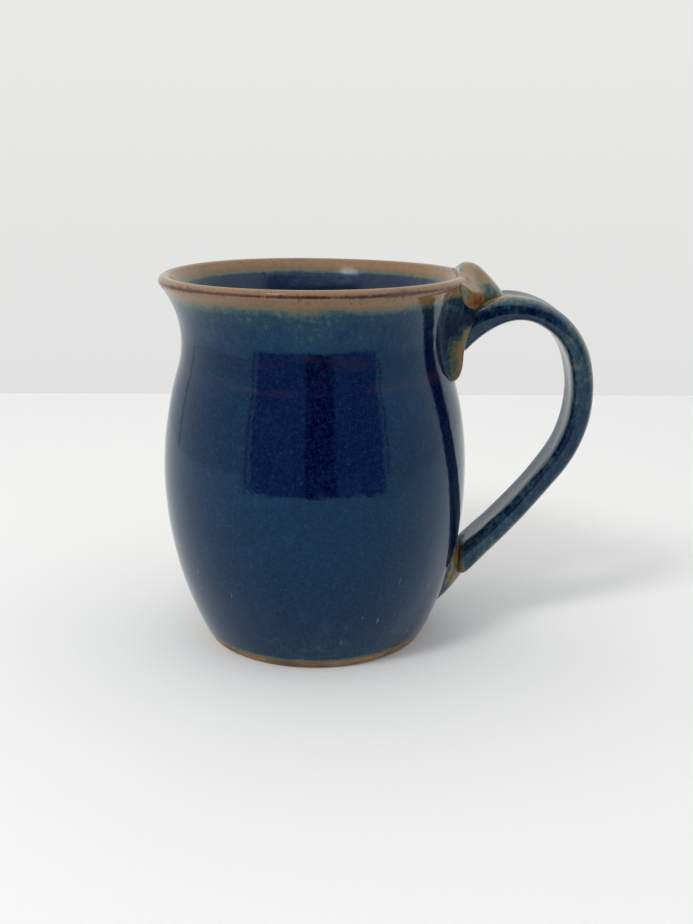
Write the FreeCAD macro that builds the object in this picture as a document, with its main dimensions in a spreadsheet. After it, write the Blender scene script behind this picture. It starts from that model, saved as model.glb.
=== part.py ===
import FreeCAD, Part
import math
import os
import Sketcher

# A stoneware shaving mug, in millimetres. A thrown pot with a full belly, a waisted neck and a
# flared rim carries a pulled strap handle. A thumb rest of rolled clay sits where the handle
# leaves the rim, and two roots of smoothed clay join the handle to the wall. Glaze covers the
# outside, the inside and the handle, and leaves only the foot bare.
# The pot's axis is Z, its foot stands on Z = 0 and the handle points along +X.

SIZES = (
    # alias, size, meaning
    ("belly_x", -65.6, "radial place of the centre of the belly's arc"),
    ("belly_z", 50.8, "height of the widest part of the belly"),
    ("belly_arc", 112.0, "radius of the belly's arc, on the glazed outside"),
    ("neck_x", 67.05, "radial place of the centre of the neck's arc"),
    ("neck_z", 92.9, "height of the narrowest part of the neck"),
    ("lip_z", 110.6, "height of the centre of the rounded lip"),
    ("wall", 3.6, "thickness of the glazed wall, and of the lip"),
    ("glaze", 0.4, "thickness of the glaze"),
    ("floor_z", 6.0, "height of the glazed floor inside"),
    ("corner", 10.0, "radius between the floor and the wall inside"),
    ("foot_radius", 33.6, "radius of the flat foot"),
    ("bevel", 0.5, "height of the bevel round the foot"),
    ("glaze_line", 2.3, "height where the outside glaze ends"),
    ("run_x", -86.5, "centre of the handle's long lower arc"),
    ("run_z", 170.0, "centre of the handle's long lower arc"),
    ("run_arc", 197.2, "radius of that arc, along the middle of the strap"),
    ("bend_x", 42.3, "centre of the handle's outward bend"),
    ("bend_z", 76.5, "centre of the handle's outward bend"),
    ("crown_x", 57.9, "centre of the handle's top arc"),
    ("crown_z", 81.1, "centre of the handle's top arc"),
    ("strap", 6.0, "thickness of the handle's clay"),
    ("strap_waist", 15.2, "width of the handle's clay at its narrowest"),
    ("strap_waist_z", 48.0, "height where the handle is narrowest"),
    ("strap_flare", 400.0, "radius of the curve of the handle's sides, seen from the front"),
    ("strap_edge", 1.9, "rounding of the handle's long edges"),
    ("strap_end_x", 37.0, "how far in the handle's ends reach, inside the wall"),
    ("strap_entry", 45.0, "slope in degrees of the handle where it leaves the neck"),
    ("thumb_x", 47.2, "upper end of the middle line of the thumb rest's roll"),
    ("thumb_z", 109.7, "upper end of the middle line of the thumb rest's roll"),
    ("thumb_radius", 5.3, "radius of the roll"),
    ("thumb_length", 4.9, "length of the roll's middle line"),
    ("thumb_tilt", 126.0, "turn of the roll from upright, out and down, in degrees"),
    ("upper_x", 27.4, "centre of the upper root's ball"),
    ("upper_z", 93.4, "centre of the upper root's ball"),
    ("upper_radius", 18.0, "radius of the upper root's ball"),
    ("lower_x", 36.1, "centre of the lower root's ball"),
    ("lower_z", 19.6, "centre of the lower root's ball"),
    ("lower_radius", 11.0, "radius of the lower root's ball"),
)

START = 1
END = 2
CENTRE = 3
ORIGIN = -1
VERTICAL_AXIS = -2
UP = 90.0
DOWN = -90.0
HALF_TURN = 180.0
TOUCHING = 0.01  # millimetres

document = FreeCAD.newDocument("shaving_mug")
sheet = document.addObject("Spreadsheet::Sheet", "sizes")


def fill_sheet():
    """Writes each size as a plain number with its alias."""
    for row, (alias, number, meaning) in enumerate(SIZES, 1):
        sheet.set(f"A{row}", meaning)
        sheet.set(f"B{row}", str(number))
        sheet.setAlias(f"B{row}", alias)
    document.recompute()


def size(alias):
    """The number that the sheet holds under this alias."""
    return float(sheet.get(alias))


def polar(centre, radius, degrees):
    """The point at a distance and a direction from a centre."""
    angle = math.radians(degrees)
    return centre[0] + radius * math.cos(angle), centre[1] + radius * math.sin(angle)


def direction(start, end):
    """The direction from one point to another, in degrees."""
    return math.degrees(math.atan2(end[1] - start[1], end[0] - start[0]))


def flat(point):
    """A sketch point as a vector."""
    return FreeCAD.Vector(point[0], point[1], 0)


def plane_of(body, role):
    """One of the origin planes of a body."""
    return next(item for item in body.Origin.OriginFeatures if item.Role == role)


class Outline:
    """A closed outline in a sketch: edges laid end to end, then tied together and sized."""

    def __init__(self, body, name, role):
        self.sketch = body.newObject("Sketcher::SketchObject", name)
        self.sketch.AttachmentSupport = [(plane_of(body, role), "")]
        self.sketch.MapMode = "FlatFace"
        self.edges = []
        self.smooth = set()

    def line(self, start, end):
        """A straight edge."""
        index = self.sketch.addGeometry(Part.LineSegment(flat(start), flat(end)), False)
        self.edges.append((index, START, END))
        return index

    def arc(self, centre, radius, first, last):
        """An arc between two directions in degrees, clockwise where last is the smaller."""
        circle = Part.Circle(flat(centre), FreeCAD.Vector(0, 0, 1), radius)
        low, high = sorted((math.radians(first), math.radians(last)))
        index = self.sketch.addGeometry(Part.ArcOfCircle(circle, low, high), False)
        self.edges.append((index, START, END) if first < last else (index, END, START))
        return index

    def tangent(self, *pairs):
        """Marks pairs of neighbouring edges that run smoothly into each other."""
        self.smooth.update(pairs)

    def close(self):
        """Ties each edge to the next one, and the last to the first."""
        for here, after in zip(self.edges, self.edges[1:] + self.edges[:1]):
            kind = "Tangent" if (here[0], after[0]) in self.smooth else "Coincident"
            self.tie(kind, here[0], here[2], after[0], after[1])

    def tie(self, kind, *where):
        """A constraint with no size."""
        self.sketch.addConstraint(Sketcher.Constraint(kind, *where))

    def bind(self, kind, *where, to):
        """A constraint whose size follows an expression on the sheet."""
        start = float(self.sketch.evalExpression(to))
        if kind == "Angle":
            start = math.radians(start)
        index = self.sketch.addConstraint(Sketcher.Constraint(kind, *where, start))
        self.sketch.setExpression(f"Constraints[{index}]", to)

    def bind_centre(self, arc, prefix):
        """Puts an arc's centre at the place that the sheet names with this prefix."""
        self.bind("DistanceX", arc, CENTRE, to=f"sizes.{prefix}_x")
        self.bind("DistanceY", arc, CENTRE, to=f"sizes.{prefix}_z")


class Wall:
    """The arcs of the pot's wall. Each is worked out at a depth below the glazed outside."""

    def __init__(self):
        self.belly = size("belly_x"), size("belly_z")
        self.neck = size("neck_x"), size("neck_z")
        self.belly_arc = size("belly_arc")
        self.neck_arc = math.dist(self.belly, self.neck) - self.belly_arc
        self.half = size("wall") / 2
        self.joint = direction(self.belly, self.neck)
        rise = size("lip_z") - self.neck[1]
        reach = math.sqrt((self.neck_arc + self.half) ** 2 - rise**2)
        self.lip = self.neck[0] - reach, size("lip_z")
        self.flare = direction(self.neck, self.lip)

    def belly_direction(self, depth, height):
        """The direction from the belly's centre to where its arc passes a height."""
        radius = self.belly_arc - depth
        return math.degrees(math.asin((height - self.belly[1]) / radius))

    def belly_point(self, depth, height):
        """The point on the belly's arc at a height."""
        return polar(self.belly, self.belly_arc - depth, self.belly_direction(depth, height))

    def corner_centre(self, depth, radius, floor):
        """The centre of the rounding between the floor and the belly's inside."""
        reach = self.belly_arc - depth - radius
        rise = floor + radius - self.belly[1]
        return self.belly[0] + math.sqrt(reach**2 - rise**2), floor + radius


def wall_up(outline, wall, depth, low, lip_end, depth_text):
    """Belly, neck and lip, from the bottom up. Gives the three arcs."""
    radius = wall.belly_arc - depth
    belly = outline.arc(wall.belly, radius, low, wall.joint)
    flare = wall.joint + HALF_TURN
    neck = outline.arc(wall.neck, wall.neck_arc + depth, flare, wall.flare)
    start = wall.flare - HALF_TURN if depth < wall.half else wall.flare
    lip = outline.arc(wall.lip, abs(wall.half - depth), start, lip_end)
    outline.bind_centre(belly, "belly")
    outline.bind("Radius", belly, to=f"sizes.belly_arc - {depth_text}")
    outline.bind_centre(neck, "neck")
    outline.tangent((belly, neck), (neck, lip))
    return belly, neck, lip


def wall_down(outline, wall, depth, low, lip_start, depth_text):
    """Lip, neck and belly, from the top down. Gives the three arcs."""
    end = wall.flare - HALF_TURN if depth < wall.half else wall.flare
    lip = outline.arc(wall.lip, abs(wall.half - depth), lip_start, end)
    flare = wall.joint + HALF_TURN
    neck = outline.arc(wall.neck, wall.neck_arc + depth, wall.flare, flare)
    belly = outline.arc(wall.belly, wall.belly_arc - depth, wall.joint, low)
    outline.bind_centre(belly, "belly")
    outline.bind("Radius", belly, to=f"sizes.belly_arc - {depth_text}")
    outline.bind_centre(neck, "neck")
    outline.tangent((lip, neck), (neck, belly))
    return lip, neck, belly


def bind_lip(outline, lip, top, radius_text):
    """Sets a lip arc's height and radius, and ends it at the crest."""
    outline.bind("DistanceY", lip, CENTRE, to="sizes.lip_z")
    outline.bind("Radius", lip, to=radius_text)
    outline.tie("Vertical", lip, CENTRE, lip, top)


def turned(name, draw):
    """A body turned about the pot's axis from the outline that draw lays out.

    The outline lies on the YZ plane, so that the seam of the turned faces is at +Y, clear of
    the handle.
    """
    body = document.addObject("PartDesign::Body", name)
    outline = Outline(body, name + "_outline", "YZ_Plane")
    draw(outline, Wall())
    outline.close()
    turning = body.newObject("PartDesign::Revolution", name + "_turning")
    turning.Profile = outline.sketch
    turning.ReferenceAxis = (outline.sketch, ["V_Axis"])
    turning.Angle = 360.0
    outline.sketch.Visibility = False
    return body


def draw_floor(outline, wall, depth, radius, floor, texts):
    """The rounding and the floor, from the wall in to the axis. Gives the two edges."""
    centre = wall.corner_centre(depth, radius, floor)
    side = direction(wall.belly, centre)
    corner = outline.arc(centre, radius, side, DOWN)
    line = outline.line((centre[0], floor), (0, floor))
    outline.bind("Radius", corner, to=texts["radius"])
    outline.bind("DistanceY", line, END, to=texts["floor"])
    outline.tie("Horizontal", line)
    outline.tie("PointOnObject", line, END, VERTICAL_AXIS)
    outline.tangent((corner, line))
    return corner, line


def draw_thrown_body(outline, wall):
    """The clay of the pot: a bevelled foot, the wall, the lip and the rounded floor."""
    glaze = size("glaze")
    inside = size("wall") - glaze
    bevel_top = wall.belly_point(glaze, size("bevel"))
    base = outline.line((0, 0), (size("foot_radius"), 0))
    bevel = outline.line((size("foot_radius"), 0), bevel_top)
    low = wall.belly_direction(glaze, size("bevel"))
    belly = outline.arc(wall.belly, wall.belly_arc - glaze, low, wall.joint)
    neck = outline.arc(wall.neck, wall.neck_arc + glaze, wall.joint + HALF_TURN, wall.flare)
    lip = outline.arc(wall.lip, wall.half - glaze, wall.flare - HALF_TURN, wall.flare)
    neck_in = outline.arc(wall.neck, wall.neck_arc + inside, wall.flare, wall.joint + HALF_TURN)
    radius = size("corner") + glaze
    floor = size("floor_z") - glaze
    side = direction(wall.belly, wall.corner_centre(inside, radius, floor))
    belly_in = outline.arc(wall.belly, wall.belly_arc - inside, wall.joint, side)
    texts = {"radius": "sizes.corner + sizes.glaze", "floor": "sizes.floor_z - sizes.glaze"}
    corner, line = draw_floor(outline, wall, inside, radius, floor, texts)
    outline.line((0, floor), (0, 0))
    outline.tie("Coincident", base, START, ORIGIN, START)
    outline.tie("Horizontal", base)
    outline.bind("DistanceX", base, END, to="sizes.foot_radius")
    outline.bind("DistanceY", bevel, END, to="sizes.bevel")
    for arc, text in ((belly, "sizes.glaze"), (belly_in, "sizes.wall + sizes.glaze")):
        outline.bind_centre(arc, "belly")
        outline.bind("Radius", arc, to=f"sizes.belly_arc - {text}")
    outline.bind_centre(neck, "neck")
    outline.bind_centre(neck_in, "neck")
    outline.bind("DistanceY", lip, CENTRE, to="sizes.lip_z")
    outline.tangent((belly, neck), (neck, lip), (lip, neck_in), (neck_in, belly_in))
    outline.tangent((belly_in, corner))


def draw_outside_glaze(outline, wall):
    """The coat on the outside, from the glaze line up to the crest of the lip."""
    glaze = size("glaze")
    line_z = size("glaze_line")
    crest = wall.lip[1] + wall.half
    low = wall.belly_direction(0, line_z)
    belly, neck, lip = wall_up(outline, wall, 0, low, UP, "0")
    edge = outline.line((wall.lip[0], crest), (wall.lip[0], crest - glaze))
    low_in = wall.belly_direction(glaze, line_z)
    lip_in, neck_in, belly_in = wall_down(outline, wall, glaze, low_in, UP, "sizes.glaze")
    bottom = outline.line(wall.belly_point(glaze, line_z), wall.belly_point(0, line_z))
    bind_lip(outline, lip, END, "sizes.wall / 2")
    outline.tie("Coincident", lip_in, CENTRE, lip, CENTRE)
    outline.tie("Vertical", edge)
    outline.bind("DistanceY", bottom, START, to="sizes.glaze_line")
    outline.tie("Horizontal", bottom)


def draw_liner_glaze(outline, wall):
    """The coat on the inside, from the crest of the lip down and across the floor."""
    glaze = size("glaze")
    whole = size("wall")
    crest = wall.lip[1] + wall.half
    edge = outline.line((wall.lip[0], crest - glaze), (wall.lip[0], crest))
    corner = size("corner")
    floor = size("floor_z")
    side = direction(wall.belly, wall.corner_centre(whole, corner, floor))
    lip, neck, belly = wall_down(outline, wall, whole, side, UP, "sizes.wall")
    texts = {"radius": "sizes.corner", "floor": "sizes.floor_z"}
    rounding, top = draw_floor(outline, wall, whole, corner, floor, texts)
    axis = outline.line((0, floor), (0, floor - glaze))
    centre = wall.corner_centre(whole - glaze, corner + glaze, floor - glaze)
    under = outline.line((0, floor - glaze), (centre[0], floor - glaze))
    side_in = direction(wall.belly, centre)
    rounding_in = outline.arc(centre, corner + glaze, DOWN, side_in)
    depth_text = "(sizes.wall - sizes.glaze)"
    arcs = wall_up(outline, wall, whole - glaze, side_in, UP, depth_text)
    belly_in, neck_in, lip_in = arcs
    bind_lip(outline, lip, START, "sizes.wall / 2")
    outline.tie("Coincident", lip_in, CENTRE, lip, CENTRE)
    outline.tie("Vertical", edge)
    outline.tie("Vertical", axis)
    outline.tie("Horizontal", under)
    outline.bind("DistanceY", under, START, to="sizes.floor_z - sizes.glaze")
    outline.bind("Radius", rounding_in, to="sizes.corner + sizes.glaze")
    outline.tangent((belly, rounding), (under, rounding_in), (rounding_in, belly_in))


def draw_envelope(depth_alias):
    """The whole pot filled in, at a depth below the glazed outside."""

    def draw(outline, wall):
        depth = size(depth_alias) if depth_alias else 0
        text = f"sizes.{depth_alias}" if depth_alias else "0"
        foot = wall.belly_point(depth, 0)
        crest = wall.lip[1] + wall.half - depth
        base = outline.line((0, 0), foot)
        low = wall.belly_direction(depth, 0)
        belly, neck, lip = wall_up(outline, wall, depth, low, UP, text)
        top = outline.line((wall.lip[0], crest), (0, crest))
        outline.line((0, crest), (0, 0))
        bind_lip(outline, lip, END, f"sizes.wall / 2 - {text}")
        outline.tie("Coincident", base, START, ORIGIN, START)
        outline.tie("Horizontal", base)
        outline.tie("Horizontal", top)
        outline.tie("PointOnObject", top, END, VERTICAL_AXIS)

    return draw


def draw_strap_side(outline, coat):
    """The handle from the side: an outer and an inner edge of three arcs and a straight."""
    run = size("run_x"), size("run_z")
    bend = size("bend_x"), size("bend_z")
    crown = size("crown_x"), size("crown_z")
    centres = run, bend, crown
    middle = size("run_arc")
    radii = [middle, middle - math.dist(run, bend)]
    radii.append(radii[1] - math.dist(bend, crown))
    joints = direction(run, bend), direction(bend, crown)
    entry = UP + size("strap_entry")
    end_x = size("strap_end_x")
    half = size("strap") / 2 + (size("glaze") if coat else 0)

    def edge_arcs(offset):
        """Gives the three radii and the first direction of one edge."""
        first = -math.degrees(math.acos((end_x - run[0]) / (radii[0] + offset)))
        return [radius + offset for radius in radii], first

    def entry_line_end(radius):
        """Where the straight from the crown's arc meets the handle's end."""
        start = polar(crown, radius, entry)
        fall = (start[0] - end_x) * math.tan(math.radians(size("strap_entry")))
        return start, (end_x, start[1] - fall)

    outer, outer_first = edge_arcs(half)
    inner, inner_first = edge_arcs(-half)
    bounds = outer_first, *joints, entry
    forwards = (0, 1, 2)
    outer_arcs = [outline.arc(centres[i], outer[i], bounds[i], bounds[i + 1]) for i in forwards]
    start, end = entry_line_end(outer[2])
    outer_entry = outline.line(start, end)
    inner_start, inner_end = entry_line_end(inner[2])
    upper_end = outline.line(end, inner_end)
    inner_entry = outline.line(inner_end, inner_start)
    bounds = inner_first, *joints, entry
    backwards = (2, 1, 0)
    inner_arcs = [outline.arc(centres[i], inner[i], bounds[i + 1], bounds[i]) for i in backwards]
    lower_end = outline.line(polar(run, inner[0], inner_first), polar(run, outer[0], outer_first))

    prefixes = "run", "bend", "crown"
    coat_text = "+ sizes.glaze" if coat else ""
    for arcs, order, side in ((outer_arcs, forwards, "+"), (inner_arcs, backwards, "-")):
        for arc, index in zip(arcs, order):
            outline.bind_centre(arc, prefixes[index])
        long_arc = arcs[order.index(0)]
        text = f"sizes.run_arc {side} (sizes.strap / 2 {coat_text})"
        outline.bind("Radius", long_arc, to=text)
        outline.tangent((arcs[0], arcs[1]), (arcs[1], arcs[2]))
    outline.tangent((outer_arcs[2], outer_entry), (inner_entry, inner_arcs[0]))
    outline.tie("Parallel", outer_entry, inner_entry)
    outline.bind("Angle", inner_entry, to="sizes.strap_entry * 1 deg")
    for end_line in (upper_end, lower_end):
        outline.tie("Vertical", end_line)
        outline.bind("DistanceX", end_line, START, to="sizes.strap_end_x")


def trim_strap_sides(body, name, coat):
    """Hollows the handle's two sides with wide arcs, so that it has a waist."""
    sketch = body.newObject("Sketcher::SketchObject", name + "_waist")
    sketch.AttachmentSupport = [(plane_of(body, "YZ_Plane"), "")]
    sketch.MapMode = "FlatFace"
    coat_text = "+ sizes.glaze" if coat else ""
    reach = f"(sizes.strap_flare + sizes.strap_waist / 2 {coat_text})"
    for side in (1, -1):
        place = flat((side * float(sketch.evalExpression(reach)), size("strap_waist_z")))
        circle = Part.Circle(place, FreeCAD.Vector(0, 0, 1), size("strap_flare"))
        index = sketch.addGeometry(circle, False)
        bindings = (
            ("DistanceX", (index, CENTRE), f"{side} * {reach}"),
            ("DistanceY", (index, CENTRE), "sizes.strap_waist_z"),
            ("Radius", (index,), "sizes.strap_flare"),
        )
        for kind, where, text in bindings:
            start = float(sketch.evalExpression(text))
            number = sketch.addConstraint(Sketcher.Constraint(kind, *where, start))
            sketch.setExpression(f"Constraints[{number}]", text)
    pocket = body.newObject("PartDesign::Pocket", name + "_sides")
    pocket.Profile = sketch
    pocket.Type = "ThroughAll"
    pocket.Midplane = True
    sketch.Visibility = False
    return pocket


def long_edges(shape, end_x):
    """The names of the edges that run along a strap, leaving out those round its two ends."""
    names = []
    for number, edge in enumerate(shape.Edges, 1):
        box = edge.BoundBox
        crosses = box.YLength > box.XLength + box.ZLength
        at_end = box.XMax < end_x + TOUCHING
        if not crosses and not at_end:
            names.append(f"Edge{number}")
    return names


def strap_form(name, coat):
    """The handle before it is trimmed to the pot, bare or with its coat of glaze."""
    body = document.addObject("PartDesign::Body", name)
    outline = Outline(body, name + "_side", "XZ_Plane")
    draw_strap_side(outline, coat)
    outline.close()
    pad = body.newObject("PartDesign::Pad", name + "_pad")
    pad.Profile = outline.sketch
    pad.SideType = "Symmetric"
    pad.setExpression("Length", "sizes.strap_waist * 2")  # wider than the flared sides
    outline.sketch.Visibility = False
    document.recompute()
    whole = pad.Shape.Volume
    pocket = trim_strap_sides(body, name, coat)
    document.recompute()
    if not pocket.Shape.Volume < whole:
        raise RuntimeError(f"{name}: the waist cut nothing")
    rounding = body.newObject("PartDesign::Fillet", name + "_rounding")
    rounding.Base = (pocket, long_edges(pocket.Shape, size("strap_end_x")))
    coat_text = " + sizes.glaze" if coat else ""
    rounding.setExpression("Radius", "sizes.strap_edge" + coat_text)
    body.Tip = rounding
    document.recompute()
    return body


def ball(name, prefix, coat):
    """A ball of clay, bare or with its coat of glaze."""
    shape = document.addObject("Part::Sphere", name)
    coat_text = " + sizes.glaze" if coat else ""
    shape.setExpression("Radius", f"sizes.{prefix}_radius{coat_text}")
    shape.setExpression("Placement.Base.x", f"sizes.{prefix}_x")
    shape.setExpression("Placement.Base.z", f"sizes.{prefix}_z")
    return shape


def roll(name, prefix, coat):
    """A short roll of clay with round ends, tilted in the handle's plane."""
    tilt = FreeCAD.Rotation(FreeCAD.Vector(0, 1, 0), size(prefix + "_tilt"))
    start = FreeCAD.Vector(size(prefix + "_x"), 0, size(prefix + "_z"))
    barrel = document.addObject("Part::Cylinder", name + "_barrel")
    barrel.Placement = FreeCAD.Placement(start, tilt)
    coat_text = " + sizes.glaze" if coat else ""
    barrel.setExpression("Radius", f"sizes.{prefix}_radius{coat_text}")
    barrel.setExpression("Height", f"sizes.{prefix}_length")
    upper_end = ball(name + "_upper_end", prefix, coat)
    upper_end.Placement.Rotation = tilt
    lower_end = document.addObject("Part::Sphere", name + "_lower_end")
    lower_end.setExpression("Radius", f"{barrel.Name}.Radius")
    reach = FreeCAD.Vector(0, 0, size(prefix + "_length"))
    lower_end.Placement = FreeCAD.Placement(start + tilt.multVec(reach), tilt)
    for axis, turn in (("x", "sin"), ("z", "cos")):
        barrel.setExpression(f"Placement.Base.{axis}", f"sizes.{prefix}_{axis}")
        step = f"sizes.{prefix}_length * {turn}(sizes.{prefix}_tilt * 1 deg)"
        lower_end.setExpression(f"Placement.Base.{axis}", f"sizes.{prefix}_{axis} + {step}")
    return joined(name, barrel, upper_end, lower_end)


def joined(name, *shapes):
    """Several shapes joined into one."""
    fuse = document.addObject("Part::MultiFuse", name)
    fuse.Shapes = list(shapes)
    return fuse


def cut(name, base, *tools):
    """One shape with others taken away, one after another."""
    for number, tool in enumerate(tools, 1):
        last = number == len(tools)
        result = document.addObject("Part::Cut", name if last else f"{name}_step_{number}")
        result.Base = base
        result.Tool = tool
        base = result
    return base


def build():
    """Makes every sub-part. Gives the finished ones by the names of their files."""
    clay_pot = turned("clay_pot_filled", draw_envelope("glaze"))
    glazed_pot = turned("glazed_pot_filled", draw_envelope(None))
    forms = {}
    for coat, word in ((False, "clay"), (True, "glazed")):
        forms[word] = {
            "strap": strap_form(f"strap_{word}", coat),
            "thumb": roll(f"thumb_{word}", "thumb", coat),
            "upper": ball(f"upper_{word}", "upper", coat),
            "lower": ball(f"lower_{word}", "lower", coat),
        }
    clay = forms["clay"]
    handle_clay = joined("handle_clay", *clay.values())
    handle_glazed = joined("handle_glazed", *forms["glazed"].values())
    clay_above = clay["strap"], clay["thumb"]
    outside_coat = turned("outside_coat", draw_outside_glaze)
    inside_coat = turned("inside_coat", draw_liner_glaze)
    return {
        "thrown_body": turned("thrown_body", draw_thrown_body),
        "handle_strap": cut("handle_strap", clay["strap"], clay_pot),
        "thumb_rest": cut("thumb_rest", clay["thumb"], clay_pot, clay["strap"]),
        "upper_root_clay": cut("upper_root_clay", clay["upper"], clay_pot, *clay_above),
        "lower_root_clay": cut("lower_root_clay", clay["lower"], clay_pot, clay["strap"]),
        "body_glaze": cut("body_glaze", outside_coat, handle_clay),
        "liner_glaze": cut("liner_glaze", inside_coat, clay["thumb"]),
        "handle_glaze": cut("handle_glaze", handle_glazed, glazed_pot, handle_clay),
    }


def check(parts):
    """Stops the script if an object failed or a sub-part isn't one sound solid."""
    for item in document.Objects:
        if "Invalid" in item.State or "Error" in item.State:
            raise RuntimeError(f"{item.Label}: {item.State}")
        if item.TypeId == "Sketcher::SketchObject" and not item.FullyConstrained:
            print(item.Label, "is not fully constrained")
    for name, item in parts.items():
        shape = item.Shape
        if shape.isNull() or not shape.isValid() or shape.Volume <= 0:
            raise RuntimeError(f"{name}: its shape is not sound")
        box = shape.optimalBoundingBox()
        low = f"{box.XMin:.1f} {box.YMin:.1f} {box.ZMin:.1f}"
        high = f"{box.XMax:.1f} {box.YMax:.1f} {box.ZMax:.1f}"
        print(f"{name}: {len(shape.Solids)} solid, {shape.Volume:.0f} mm3, {low} to {high}")


def write(parts):
    """Writes each sub-part to its own file."""
    os.makedirs("parts", exist_ok=True)
    for name, item in parts.items():
        item.Label = name
        item.Shape.exportStep(f"parts/{name}.step")


fill_sheet()
finished = build()
document.recompute()
check(finished)
write(finished)
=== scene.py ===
import math

import bpy
import numpy as np
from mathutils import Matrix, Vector


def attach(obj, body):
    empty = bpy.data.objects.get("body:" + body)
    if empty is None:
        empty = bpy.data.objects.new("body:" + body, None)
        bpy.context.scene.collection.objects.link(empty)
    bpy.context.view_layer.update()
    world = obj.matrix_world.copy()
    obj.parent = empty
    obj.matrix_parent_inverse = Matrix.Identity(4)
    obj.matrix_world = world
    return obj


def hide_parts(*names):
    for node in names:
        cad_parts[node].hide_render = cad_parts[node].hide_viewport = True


# A glazed stoneware shaving mug on a pale table inside a white light tent. Sizes are in
# millimetres in the part's own frame: the foot stands on Z = 0, the pot's axis is Z and the
# handle points along +X. MM turns them into metres when a mesh is made.

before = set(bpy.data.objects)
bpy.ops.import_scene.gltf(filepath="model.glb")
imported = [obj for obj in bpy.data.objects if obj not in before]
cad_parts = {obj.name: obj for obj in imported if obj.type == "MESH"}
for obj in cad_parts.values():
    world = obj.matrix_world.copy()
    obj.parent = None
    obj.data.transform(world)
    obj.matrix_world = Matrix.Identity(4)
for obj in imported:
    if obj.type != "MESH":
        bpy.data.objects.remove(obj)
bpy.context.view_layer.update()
MM = 0.001
TURN = 2 * math.pi

# ---- sizes of the pot, as in the CAD model ---------------------------------------------------
BELLY = np.array([-65.6, 50.8])  # centre of the belly's arc, (radius, height)
BELLY_ARC = 112.0
NECK = np.array([67.05, 92.9])  # centre of the neck's arc
NECK_ARC = math.dist(BELLY, NECK) - BELLY_ARC
WALL = 3.6
GLAZE = 0.4
LIP_Z = 110.6
LIP = np.array([NECK[0] - math.sqrt((NECK_ARC + WALL / 2) ** 2 - (LIP_Z - NECK[1]) ** 2), LIP_Z])
FLOOR_Z = 6.0
CORNER = 10.0
GLAZE_LINE = 2.3  # how high above the table the outside coat stops

# ---- sizes of the pot that are only in this model --------------------------------------------
COAT = 0.9 * GLAZE  # how thick a coat is made, so that its back stays clear of the clay
BEVEL_TOP = 1.0  # where the bevel of the foot meets the clay wall
FOOT_LINE = np.array(
    [
        [0, 0.5], [12, 0.5], [24, 0.5], [26.6, 0.35], [27.6, 0.0],
        [30.0, 0.0], [32.9, 0.0], [33.6, 0.06], [33.9, 0.25], [34.1, 0.6],
    ]
)
RINGS = ((0.003, 5.4, 1, 0.0), (0.018, 13.7, -1, 0.8))  # height, pitch, hand and start
INNER_RING = (0.07, 7.6, 1, 0.4)
DENTS = 0.05  # how deep the soft dents from the fingers are
DENT_PITCH = 6.1
RINGED = ((4, 16, 1), (106, 110, -1))  # the rings fade in above the foot and out at the lip
OVAL_START = (10, 70)  # the foot is round, and the pot gets more oval up its wall
OVAL_REACH = (0, 30)  # and away from its axis
OVAL = ((0.10, 2, 0.6), (0.07, 3, 2.1))  # height, count round the pot and start
RIM_SWING = ((0.16, 2, 1.2), (0.08, 3, -0.5))
RIM_SWING_START = (96, 112)
COLUMNS = 240
FINE = 0.7  # spacing of the rows of points where they show
COARSE = 1.6  # and where they are covered
LIP_STEP = 0.16

# How thin the glaze is up the wall: where each change starts and ends, and what it adds.
OUTSIDE_THIN = (
    # These two rows turn the neck slate-green: partly thinner glaze, partly a painted reflection
    # of the table.
    (91, 99, 0.10),
    (99, 105.5, 0.08),
    (104.6, 106.6, 0.16),
    (106.2, 108.8, 0.34),
    (4.0, 2.5, 0.34),
    # This row makes the wall lighter and more teal towards the foot.
    (30, 3, 0.10),
)
INSIDE_THIN = ((104, 107.6, 0.12), (107.6, 108.8, 0.30), (108.8, 110.6, 0.24))
LIP_EDGE = (110.75, 0.45)  # the brown line where the lip's edge turns over
LIP_EDGE_THIN = 0.26
THIN_DRIFT = 0.35  # how far the borders of the colours wander up and down

# ---- sizes of the handle ---------------------------------------------------------------------
RUN = np.array([-86.5, 170.0])  # centres of the three arcs of the strap's middle line
BEND = np.array([42.3, 76.5])
CROWN = np.array([57.9, 81.1])
RUN_ARC = 197.2
STRAP = 6.4
STRAP_WAIST = 15.8
STRAP_WAIST_Z = 48.0
STRAP_FLARE = 400.0
STRAP_SLOPE = math.radians(45)
STRAP_LOW_X = 43.0  # where the middle line starts, at the lower root
STRAP_HIGH_X = 39.5  # and where it ends, inside the neck
STRAP_STEP = 0.5  # spacing of the points of the middle line
STRAP_ROW = 0.8  # spacing of the strap's rows
STRAP_COLUMNS = 112
HEEL = 2.2  # rounding of the strap's lower end
HEEL_LEAN = 2.5  # how much further out along the strap its inner face starts
HEEL_LEAN_END = 14  # how far up the strap that lean is gone
HEEL_LIP = (3, 5)  # the bulge on the outer face above the heel: its place and its width
HEEL_LIP_RISE = 0.8
HEEL_ROWS = 10
STRAP_SQUARE = (0.40, 0.60)  # how square the strap's section is, across and through it
ROOT_FLARE = 3.2  # how much thicker the strap gets underneath, towards the neck
ROOT_FLARE_SPAN = (30, 6)  # where that starts and is complete, from the strap's end
RIDGE = 0.50  # height of the two ridges on the strap's outer face
GROOVE = 0.60  # depth of the groove between them
UNDER_GROOVE = 0.30  # depth of the hollow along its inner face
# Where a ridge, the groove and the hollow are across the strap, and how wide they are, as
# shares of its half width.
RIDGE_ACROSS = (0.60, 0.22)
GROOVE_ACROSS = (0, 0.30)
UNDER_ACROSS = (0, 0.5)
RIDGE_START = (2, 10)
RIDGE_CREST = (0.62, 0.26)  # where the glaze is thin on a ridge

# ---- sizes of the clay at the handle's joints ------------------------------------------------
PAD_ROWS = 110
PAD_COLUMNS = 151
PAD_BORDER = 0.05  # the share of a pad over which its border sinks into the wall
PAD_SINK = 0.3
PAD_DEPTH = 1.2
PAD_SOFTENING = 3  # how many points each way are averaged

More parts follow.
